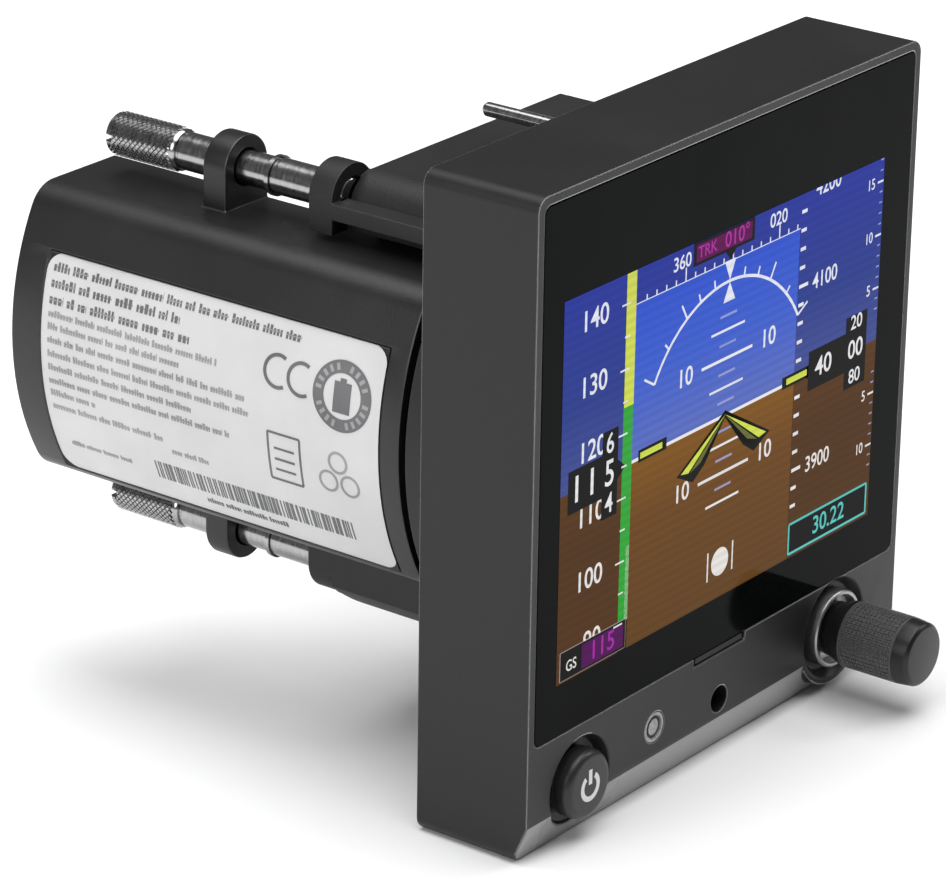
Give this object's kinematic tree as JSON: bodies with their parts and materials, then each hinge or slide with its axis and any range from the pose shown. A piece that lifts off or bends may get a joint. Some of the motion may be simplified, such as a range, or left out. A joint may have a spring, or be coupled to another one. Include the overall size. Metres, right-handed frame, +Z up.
{
  "type": "panel mounted flight display",
  "caption": "Square glass flight display with a knob and a power button, a round barrel for an instrument panel hole and a clip-in battery pack behind it.",
  "frame": {"origin": "centre of the barrel in the plane where the bezel's rear face seats on the panel", "axes": "-Y the way the display faces, +Y rearwards along the barrel, +Z up, +X to the viewer's right"},
  "size_m": [0.087, 0.1079, 0.0914],
  "materials": {
    "bezel_plastic": "satin charcoal plastic with a fine moulded grain",
    "cover_glass": "polished black-printed glass",
    "seal_rubber": "dull",
    "display": "lit picture",
    "white_plastic": "smooth",
    "sheet_steel": "brushed",
    "flex_film": "amber film",
    "circuit_board": "solder mask",
    "chip_plastic": "matt moulded",
    "screw_steel": "bright turned and knurled",
    "contact_gold": "gold plated",
    "knob_plastic": "satin",
    "collar_metal": "satin black with a bright rim",
    "lens_plastic": "milky diffuser",
    "dark_screw": "blackened",
    "housing_metal": "matt black",
    "ceramic": "fired ceramic",
    "tube_rubber": "soft translucent tube",
    "fitting_metal": "machined",
    "plate_metal": "brushed blank plate",
    "battery_plastic": "satin black",
    "label_film": "printed film without words",
    "cell_sleeve": "shrink sleeve"
  },
  "bodies": {
    "instrument": {"bezel": "bezel_plastic", "cover_glass": "cover_glass", "glass_bond": "seal_rubber", "lcd_panel": "display", "backlight": "white_plastic", "display_bracket": "sheet_steel", "display_flex": "flex_film", "main_board": "circuit_board", "main_board_chips": "chip_plastic", "board_shield": "sheet_steel", "board_screws": "screw_steel", "control_board": "circuit_board", "encoder_body": "sheet_steel", "knob_collar": "collar_metal", "switch_body": "chip_plastic", "light_sensor_lens": "lens_plastic", "light_sensor": "chip_plastic", "card_socket": "sheet_steel", "chassis": "housing_metal", "chassis_screws": "screw_steel", "locating_pin": "screw_steel", "rear_housing": "housing_metal", "housing_screws": "screw_steel", "gps_antenna": "ceramic", "antenna_board": "circuit_board", "sensor_board": "circuit_board", "sensor_chips": "chip_plastic", "pitot_sensor": "sheet_steel", "static_sensor": "sheet_steel", "board_connector": "chip_plastic", "air_tubes": "tube_rubber", "pitot_port": "fitting_metal", "static_port": "fitting_metal", "data_connector_shell": "sheet_steel", "data_connector_insert": "chip_plastic", "data_connector_posts": "screw_steel", "antenna_jack": "fitting_metal", "antenna_jack_core": "white_plastic", "rating_plate": "plate_metal", "contact_block": "chip_plastic", "contact_pins": "contact_gold"},
    "encoder_rotor": {"encoder_rotor": "contact_gold"},
    "knob": {"knob": "knob_plastic", "knob_shaft": "screw_steel"},
    "power_button": {"power_button": "knob_plastic", "switch_plunger": "white_plastic"},
    "memory_card": {"memory_card": "chip_plastic"},
    "mounting_washer": {"mounting_screw_washer": "screw_steel"},
    "mounting_screw": {"mounting_screw": "dark_screw"},
    "battery": {"battery_case": "battery_plastic", "battery_cover": "battery_plastic", "battery_label": "label_film", "battery_pads": "contact_gold", "battery_cell": "cell_sleeve", "protection_board": "circuit_board"},
    "upper_ring": {"upper_screw_ring": "screw_steel"},
    "upper_screw": {"upper_thumbscrew": "screw_steel"},
    "lower_ring": {"lower_screw_ring": "screw_steel"},
    "lower_screw": {"lower_thumbscrew": "screw_steel"}
  },
  "joints": [
    {"name": "knob_turn", "type": "hinge", "parent": "instrument", "child": "encoder_rotor", "pos_m": [0.028, -0.018, -0.0401], "axis": [0, -1, 0], "continuous": true},
    {"name": "knob_push", "type": "slide", "parent": "encoder_rotor", "child": "knob", "axis": [0, 1, 0], "range_m": [0, 0.0006], "stiffness_N_per_m": 3000, "springref_m": -0.0003},
    {"name": "power_button_press", "type": "slide", "parent": "instrument", "child": "power_button", "axis": [0, 1, 0], "range_m": [0, 0.0007], "stiffness_N_per_m": 2500, "springref_m": -0.0003},
    {"name": "card_slide", "type": "slide", "parent": "instrument", "child": "memory_card", "axis": [0, -1, 0], "range_m": [0, 0.015]},
    {"name": "mounting_screw_back_out", "type": "slide", "parent": "instrument", "child": "mounting_washer", "axis": [0, -1, 0], "range_m": [0, 0.003]},
    {"name": "mounting_screw_turn", "type": "hinge", "parent": "mounting_washer", "child": "mounting_screw", "pos_m": [0, 0, -0.0409], "axis": [0, -1, 0], "range_deg": [0, 1801]},
    {"name": "battery_slide", "type": "slide", "parent": "instrument", "child": "battery", "axis": [0, 1, 0], "range_m": [0, 0.045]},
    {"name": "upper_screw_back_out", "type": "slide", "parent": "battery", "child": "upper_ring", "axis": [0, 1, 0], "range_m": [0, 0.004]},
    {"name": "upper_screw_turn", "type": "hinge", "parent": "upper_ring", "child": "upper_screw", "pos_m": [-0.021, 0.05, 0.0263], "axis": [0, 1, 0], "range_deg": [0, 1801]},
    {"name": "lower_screw_back_out", "type": "slide", "parent": "battery", "child": "lower_ring", "axis": [0, 1, 0], "range_m": [0, 0.004]},
    {"name": "lower_screw_turn", "type": "hinge", "parent": "lower_ring", "child": "lower_screw", "pos_m": [-0.021, 0.05, -0.0263], "axis": [0, 1, 0], "range_deg": [0, 1801]}
  ],
  "couplings": [
    {"joint": "mounting_screw_turn", "follows": "mounting_screw_back_out", "rad_per_m": 10472},
    {"joint": "upper_screw_turn", "follows": "upper_screw_back_out", "rad_per_m": 7854},
    {"joint": "lower_screw_turn", "follows": "lower_screw_back_out", "rad_per_m": 7854}
  ]
}
